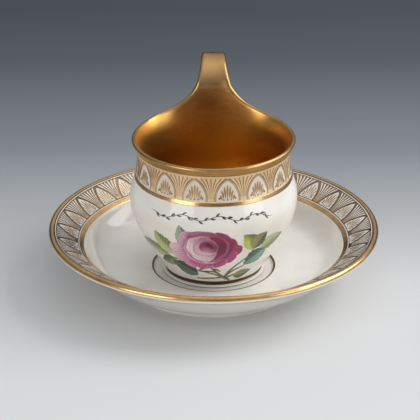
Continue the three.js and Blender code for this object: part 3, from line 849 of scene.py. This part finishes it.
def saucerProfile(f):
    # from the middle of the well out to the lip, round it and back underneath to the axis
    inner = flangePoint(f["radius"] - f["flange"])
    floorOuter = np.array([inner[0] - f["cavetto"], f["floorHeight"]])
    lean = (floorOuter[1] - wellTop[1]) / (floorOuter[0] - wellTop[0])
    edge, deep = f["well"], f["wellHeight"]
    well = np.array([(0, deep), (8, deep), (16, deep), (24, deep), (edge - 0.5, deep),
                     (edge - 0.15, deep + 0.05), (edge + 0.08, deep + 0.22), wellTop - (0.1, 0.2),
                     wellTop + (0.12, -0.03), wellTop + (0.5, 0.5 * lean)])
    r = np.linspace(wellTop[0] + 1, floorOuter[0], 14)
    floor = np.stack([r, wellTop[1] + lean * (r - wellTop[0])], -1)
    run = f["cavettoPull"] * f["cavetto"]
    cavetto = quadratic(floorOuter, floorOuter + (run, lean * run), inner, np.linspace(0, 1, 22)[1:])
    flange = flangePoint(np.linspace(inner[0], f["radius"] - f["flangeEnd"], 26)[1:])
    lip = saucerLip(*f["lipAngles"], 22)
    footTop = np.array([f["foot"] + f["footFlare"], f["footHeight"]])
    under = f["underPull"] * (lip[-1, 0] - footTop[0])
    below = cubic(lip[-1], lip[-1] - f["underRun"] * np.array([math.cos(f["slope"]), math.sin(f["slope"])]),
                  footTop + (under, lean * under), footTop + (0.5, 0.03), 40)[1:]
    outer, inside, base = f["foot"], f["foot"] - f["footWidth"], f["base"]
    foot = np.array([footTop - (0.05, 0.25), (outer + 0.75, 2.4), (outer + 0.1, 0.5), (outer - 0.15, 0.12),
                     (outer - 0.5, 0), (inside + 0.5, 0), (inside + 0.15, 0.12), (inside - 0.1, 0.5),
                     (inside - 1.0, base - 0.4), (inside - 1.6, base), (20, base), (0, base)])
    return np.concatenate([well, floor, cavetto, flange, lip, below, foot])


dish = revolve(saucerProfile(saucerForm), saucerForm["turns"])
makePiece("saucerDish", [dish], porcelain, "saucer", ["saucer_dish"])


def saucerBand(name, profile, lift, material, slot, *nodes):
    grid = revolve(goldRing(profile, -rightOf(profile), lift), saucerForm["turns"])
    makePiece(name, [grid], material, "saucer", nodes)


low, high, lift, lipTo = saucerForm["rimGold"]
rimGold = [flangePoint(np.linspace(low, high, 6)), saucerLip(saucerForm["lipAngles"][0], lipTo, 18)]
saucerBand("saucerRimGold", np.concatenate(rimGold), lift, brightGold, "burnished_gold",
           "saucer_rim_gilding")
# the border and its line, then a thin brown ring on the inner edge of the rim gold, darkening it there, and
# thin brown lines drawn along both edges of the border
for name, material, slot, *nodes in (
        ("saucerBorderGround", flangeGold, "border_gold", "saucer_palmette_border"),
        ("saucerBorderLine", brightGold, "burnished_gold", "saucer_border_line"),
        ("saucerRimLine", lineGold, "brown_gold"), ("saucerBorderTop", lineGold, "brown_gold"),
        ("saucerBorderFoot", lineGold, "brown_gold")):
    low, high, lift, count = saucerForm["bands"][name]
    saucerBand(name, flangePoint(np.linspace(low, high, count)), lift, material, slot, *nodes)
saucerBand("saucerWellLine", resample(wellTop + saucerForm["wellRing"], 14), saucerForm["wellLift"], lineGold,
           "brown_gold", "saucer_well_line")


# Palmette borders: pointed arches left white in the gold, a palmette in each and fans of rays between

cupArch = {
    "count": 15, "first": 10.0, "reference": 36.0, "base": 0.5, "width": 5.5, "height": 10.2,
    "form": (1.8, 0.72, 0.93), "line": 0.26, "gap": 0.3, "leaves": (6.6, 6.0, 4.6, 2.6), "leafHalf": 0.46,
    "root": 1.9, "spread": 0.8, "tilt": 6.5, "dots": 0.55, "rays": 0.22, "whiteRays": 0.0, "rayTop": 11.9,
}
saucerArch = {
    "count": 30, "first": 3.5, "reference": 68.6, "base": 0.3, "width": 4.5, "height": 10.6,
    "form": (1.6, 0.85, 1.0), "line": 0.31, "gap": 0.3, "leaves": (7.6, 6.9, 5.2, 3.2), "leafHalf": 0.36,
    "root": 1.7, "spread": 0.72, "tilt": 7.0, "dots": 0.4, "rays": 0.15, "whiteRays": 0.33, "rayTop": 12.0,
}
pointed = 1.25  # how much faster a larger arch grows upwards than sideways
archSteps = np.sin(np.linspace(0, np.pi / 2, 15)) ** 0.8
borderLifts = {"Reserves": 0.06, "Palmettes": 0.09, "Outlines": 0.085}


def archSide(form, more, v):
    # right side of an arch more mm larger all round: half width W (1 - v^a)^b (c + (1 - c) s(v)) at v H
    a, b, c = form["form"]
    half = (form["width"] + more) * (1 - v ** a) ** b * (c + (1 - c) * smoothstep(0, 0.3, v))
    return np.stack([half, form["base"] + v * (form["height"] + pointed * more)], -1)


def between(left, right, cols):
    # strips with rows from the left line to the right line, both of shape (strips, rows, 2)
    u = np.linspace(0, 1, cols)[:, None]
    return left[:, :, None] * (1 - u) + right[:, :, None] * u


def ribbons(paths, halves, cols=3):
    # strips about paths of equal length: path + u half (unit vector to its right), u from -1 to 1
    side = rightOf(paths, 1) * halves[..., None]
    return between(paths - side, paths + side, cols)


def archBand(form, inside, wide):
    # a strip along both sides of the arch, wide mm broad, its inner edge inside mm outside the white field
    inner, outer = (archSide(form, more, archSteps) for more in (inside, inside + wide))
    mirror = np.array([-1, 1])
    return between(np.stack([inner, outer * mirror]), np.stack([outer, inner * mirror]), 2)


def rayFan(form, shares, wide):
    # rays between two arches: close together at the foot, opening out upwards, fullest at their upper ends
    share = np.array(shares)[:, None]
    pitch = 2 * np.pi * form["reference"] / form["count"]
    w = np.linspace(0.12, 1, 12)
    reach = form["line"] * 2 + form["gap"]
    outer = archSide(form, reach, np.minimum(w * form["rayTop"] / (form["height"] + pointed * reach), 0.9999))
    room = np.maximum(pitch / 2 - outer[:, 0] - 0.1, 0.05)
    height = form["base"] + w * (form["rayTop"] - form["base"]) + 0 * share
    ray = np.stack([pitch / 2 + share * room, height], -1)
    start = smoothstep(0.1 + 0.3 * np.abs(share), 0.75 + 0.2 * np.abs(share), w)
    return ribbons(ray, wide * (0.15 + 0.85 * start) * np.minimum(1, room / 1.6), 2)


def archMotif(form):
    # one bay of the border as white strips, gold strips and brown strips, in mm across and up
    right = archSide(form, 0, archSteps)
    white = [between((right * (-1, 1))[None], right[None], 9)]
    if form["whiteRays"]:
        white.append(rayFan(form, (-0.75, -0.45, -0.15, 0.15, 0.45, 0.75), form["whiteRays"]))
    # palmette: fingers fan out from a short arc and curl over, half width w sin(pi t^1.3)^0.7,
    # so they are fullest near their ends
    t = np.linspace(0, 1, 11)
    place = np.array([0, 1, -1, 2, -2, 3, -3])[:, None]
    tilt = np.radians(form["tilt"]) * place
    size = np.repeat(form["leaves"], [1, 2, 2, 2])[:, None]
    leaf = np.stack([form["spread"] * place + np.sin(tilt) * size * t * (0.85 + 0.2 * t),
                     form["root"] - 0.1 * place ** 2 * form["spread"] + np.cos(tilt) * size * t
                     - 0.12 * np.abs(tilt) * size * t ** 3], -1)
    blade = form["leafHalf"] * (0.12 + np.sin(np.pi * t ** 1.3) ** 0.7) * (t < 1)
    gold = ribbons(leaf, blade * np.ones_like(size))
    # dots at the foot of the palmette: place across as a share of the arch, height and size
    d = form["dots"]
    dotAt = np.array([(-0.66, 1.5, 1), (0.66, 1.5, 1), (0, 0.9, 0.9), (-0.3, 0.85, 0.75), (0.3, 0.85, 0.75)])
    angle = np.linspace(0, np.pi, 7)
    dotPath = np.stack(np.broadcast_arrays(dotAt[:, :1] * form["width"] - d * dotAt[:, 2:] * np.cos(angle),
                                           form["base"] + dotAt[:, 1:2] + 0 * angle), -1)
    brown = [archBand(form, 0, form["line"]), archBand(form, form["line"] + form["gap"], form["line"]),
             rayFan(form, (0, -0.3, 0.3, -0.6, 0.6, -0.9, 0.9), form["rays"]),
             ribbons(dotPath, d * dotAt[:, 2:] * np.sin(angle))]
    return white, [gold], brown


def wrapSaucer(azimuth, up, lift):
    # painted things on the flange: azimuth from the front, mm up the slope from the border's inner edge
    slope, foot = saucerForm["slope"], flangePoint(saucerForm["bands"]["saucerBorderGround"][0])
    r = foot[0] + up * math.cos(slope) - lift * math.sin(slope)
    z = foot[1] + up * math.sin(slope) + lift * math.cos(slope)
    return spinFront(np.stack([r, z], -1), azimuth)


def wrapBorder(azimuth, up, lift):
    return wrapCup(azimuth, atHeight(cupBands["border"][0]) + up, lift)


# every strip in every bay; hand turns the drawing so that its faces look outwards
for side, form, wrap, hand, materials in (
        ("cup", cupArch, wrapBorder, 1, (creamPorcelain, leafGold, paleLineGold)),
        ("saucer", saucerArch, wrapSaucer, -1, (porcelain, flangeGold, lineGold))):
    centre = np.radians(form["first"] + 360 / form["count"] * np.arange(form["count"]))[:, None, None, None]
    for (kind, lift), strips, material, slot in zip(borderLifts.items(), archMotif(form), materials,
                                                    ("porcelain", "border_gold", "brown_gold")):
        azimuths = [centre + hand * strip[..., 0] / form["reference"] for strip in strips]
        grids = [wrap(az, strip[..., 1] + 0 * az, lift) for az, strip in zip(azimuths, strips)]
        makePiece(side + "Border" + kind, grids, material, side, plate=True)


# Tendril above the spray: a plain waved line with leaves and curls, the same over and over

tendrilForm = {"half": 28.5, "shift": -1.5, "height": 17.8, "waves": 3.5, "swing": 1.15, "line": 0.16,
               "leaf": 2.5, "leafHalf": 0.4, "leafTurn": (0.75, 0.55), "curl": 0.8, "coil": 0.2, "hang": 1.6,
               "lift": 0.03}


def tendrilStrips(form):
    # stem y = swing sin(k x); slender leaves lie along it on both sides in turn, with a curl on every crest
    k = np.pi * form["waves"] / form["half"]
    x = np.linspace(-form["half"], form["half"], 241)
    stem = np.stack([x, form["swing"] * np.sin(k * x)], -1)[None]
    thin = form["line"] * (1 - 0.7 * smoothstep(0.88, 1, np.abs(x) / form["half"]))[None]
    count = int(6 * form["waves"])
    root = form["half"] * (2 * np.arange(count) + 1 - count) / (count + 2)
    side = np.where(np.arange(count) % 2, 1.0, -1.0)[:, None]
    t = np.linspace(0, 1, 11)
    out, back = form["leafTurn"]  # angle from the stem in radians, and how much of it is lost by the tip
    slope = np.arctan(form["swing"] * k * np.cos(k * root))[:, None] + side * (out - back * t[1:])
    reach = form["leaf"] * np.cumsum(np.stack([np.cos(slope), np.sin(slope)], -1), 1) / 10
    foot = np.stack([root, form["swing"] * np.sin(k * root)], -1)[:, None]
    leaf = np.concatenate([foot, foot + reach], 1)
    blade = form["leafHalf"] * np.sin(np.pi * t) ** 0.8 * np.ones((count, 1))
    # curls: a spiral of one turn and a half whose radius falls by the coil each half turn
    crest = (np.arange(int(2 * form["waves"])) + 0.5 - form["waves"]) * np.pi / k
    turned = np.sign(np.sin(k * crest))[:, None]
    a = np.linspace(0, 3 * np.pi, 25)
    ring = form["curl"] - form["coil"] * a / np.pi
    curl = np.stack([crest[:, None] + ring * np.sin(a),
                     turned * (form["swing"] - form["curl"] + ring * np.cos(a))], -1)
    fine = form["line"] * (0.85 - 0.4 * a / a[-1]) * np.ones((len(crest), 1))
    return [ribbons(stem, thin), ribbons(leaf, blade), ribbons(curl, fine)]


def hangTendril(form, strip):
    # round the belly, a little lower at its ends, like a garland
    drop = form["hang"] * (strip[..., 0] / form["half"]) ** 2
    return wrapCup((strip[..., 0] + form["shift"]) / spray["reference"],
                   sprayMiddle + form["height"] + strip[..., 1] - drop, form["lift"])


tendril = [hangTendril(tendrilForm, strip) for strip in tendrilStrips(tendrilForm)]
makePiece("cupTendril", tendril, drawnBrown, "cup", plate=True)


# Studio: a sweep of paper, its colour painted pale in front and greyer behind as a painted falloff of the
# light, with large soft lamps

studio = {
    # painted light falloff on the paper: its colours from front to back, and the y where the ramp starts and
    # ends
    "paperLightFalloff": ((0.0, "#dededd"), (0.15, "#d5d5d5"), (0.3, "#848a8f"), (0.42, "#595f64"), (0.5, "#4e5257")),
    "paperLightFalloffEnds": (-0.16, 0.9), "width": 4.0, "front": -2.5, "flat": 1.1, "curve": 0.35, "top": 0.5,
    # place, size and power of each lamp
    "lamps": {"keyLamp": ((0.97, 0.14, 0.8), 0.9, 9.0), "leftLamp": ((-0.8, -0.85, 0.34), 0.7, 4.6),
              "rightLamp": ((0.95, -0.65, 0.36), 0.6, 2.7)},
    "aim": (0, 0, 0.04), "world": 1.04, "roomUp": (0.24, 0.2, 0.95),
    "room": ((0.0, "#6c7076"), (0.6, "#b0b4b8"), (0.85, "#d0d2d6"), (1.0, "#ffffff")),
}


def mattPaper():
    # uncoated card with no gloss to speak of; its colour is painted pale in front and grey at the back, a
    # painted falloff of the light
    material, tree, spot = startMaterial("mattStudioPaper")
    split = addNode(tree, "SeparateXYZ", {"Vector": spot})
    low, high = studio["paperLightFalloffEnds"]
    away = addNode(tree, "MapRange", {"Value": (split, "Y"), "From Min": low, "From Max": high})
    tone = addNode(tree, "ValToRGB", {"Fac": (away, "Result")}, studio["paperLightFalloff"])
    finishMaterial(tree, {"Roughness": 0.8, "Specular IOR Level": 0.1, "Base Color": (tone, "Color")})
    return material


def paperSweep():
    # floor from in front of the camera back to the curve, a quarter round, then upright
    flat, curve, turn = studio["flat"], studio["curve"], np.linspace(0, np.pi / 2, 16)[1:]
    y = np.concatenate([np.linspace(studio["front"], flat, 20), flat + curve * np.sin(turn),
                        np.full(4, flat + curve)])
    z = np.concatenate([np.zeros(20), curve * (1 - np.cos(turn)), np.linspace(curve, studio["top"], 5)[1:]])
    x = np.linspace(-studio["width"] / 2, studio["width"] / 2, 12)
    grid = np.stack(np.broadcast_arrays(x[None, :], y[:, None], z[:, None]), -1)
    mesh = bpy.data.meshes.new("paperSweep")
    mesh.from_pydata(grid.reshape(-1, 3).tolist(), [], gridFaces(len(y), len(x)).tolist())
    mesh.polygons.foreach_set("use_smooth", np.ones(len(mesh.polygons), bool))
    mesh.materials.append(mattPaper())
    sweep = addObject("paperSweep", mesh)


def softLamp(name, place, size, power):
    lamp = bpy.data.lights.new(name, "AREA")
    lamp.shape = "SQUARE"
    lamp.size = size
    lamp.energy = power
    holder = addObject(name, lamp)
    holder.location = place
    x, y, z = np.subtract(studio["aim"], place)
    holder.rotation_euler = (math.atan2(math.hypot(x, y), -z), 0, math.atan2(x, -y) + math.pi)


paperSweep()
for lampName, lampForm in studio["lamps"].items():
    softLamp(lampName, *lampForm)

# a room that is dim low down and white overhead, a little to the right and behind
world = bpy.data.worlds.new("studioWorld")
bpy.context.scene.world = world
world.use_nodes = True
tree = world.node_tree
ray = addNode(tree, "TexCoord")
height = addNode(tree, "VectorMath", {0: (ray, "Generated"), 1: studio["roomUp"]}, operation="DOT_PRODUCT")
room = addNode(tree, "ValToRGB", {"Fac": (height, "Value")}, studio["room"])
sky = tree.nodes["Background"]
sky.inputs["Strength"].default_value = studio["world"]
tree.links.new(room.outputs["Color"], sky.inputs["Color"])
bpy.context.scene.view_settings.view_transform = "Standard"

# Camera: fitted to the circles of the cup and the saucer, for a picture 420 points wide
cameraForm = {"focal": 2553.86, "picture": 420, "sensor": 36, "distance": 1.19896,
              "elevation": math.radians(24.639), "target": (-0.0017, 0, 0.035641)}
lens = bpy.data.cameras.new("camera")
lens.sensor_width = cameraForm["sensor"]
lens.lens = cameraForm["sensor"] * cameraForm["focal"] / cameraForm["picture"]
lens.clip_end = 20
camera = addObject("camera", lens)
elevation = cameraForm["elevation"]
backwards = np.array([0, -math.cos(elevation), math.sin(elevation)])
camera.location = np.array(cameraForm["target"]) + cameraForm["distance"] * backwards
camera.rotation_euler = (math.pi / 2 - elevation, 0, 0)
bpy.context.scene.camera = camera
print("studio and camera set")
